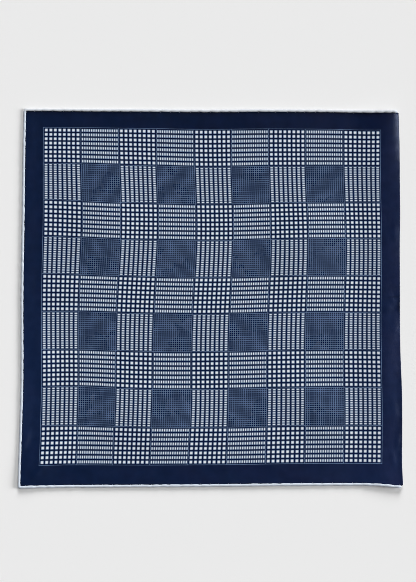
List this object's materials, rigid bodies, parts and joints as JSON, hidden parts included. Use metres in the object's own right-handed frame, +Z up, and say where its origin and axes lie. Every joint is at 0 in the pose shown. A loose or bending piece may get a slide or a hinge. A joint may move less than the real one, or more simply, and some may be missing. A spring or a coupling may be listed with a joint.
{
  "type": "pocket square laid flat",
  "caption": "Square of printed silk with a hand-rolled white hem and a glen check inside a navy border, laid flat.",
  "frame": {"origin": "middle of the square, on the surface that it rests on", "axes": "+Z up out of the printed face, +X to the right and +Y away from someone who looks down on it"},
  "size_m": [0.3358, 0.3312, 0.0037],
  "materials": {
    "printed_silk": "printed silk twill with a soft sheen"
  },
  "bodies": {
    "root": {"cloth": "printed_silk"}
  },
  "joints": []
}
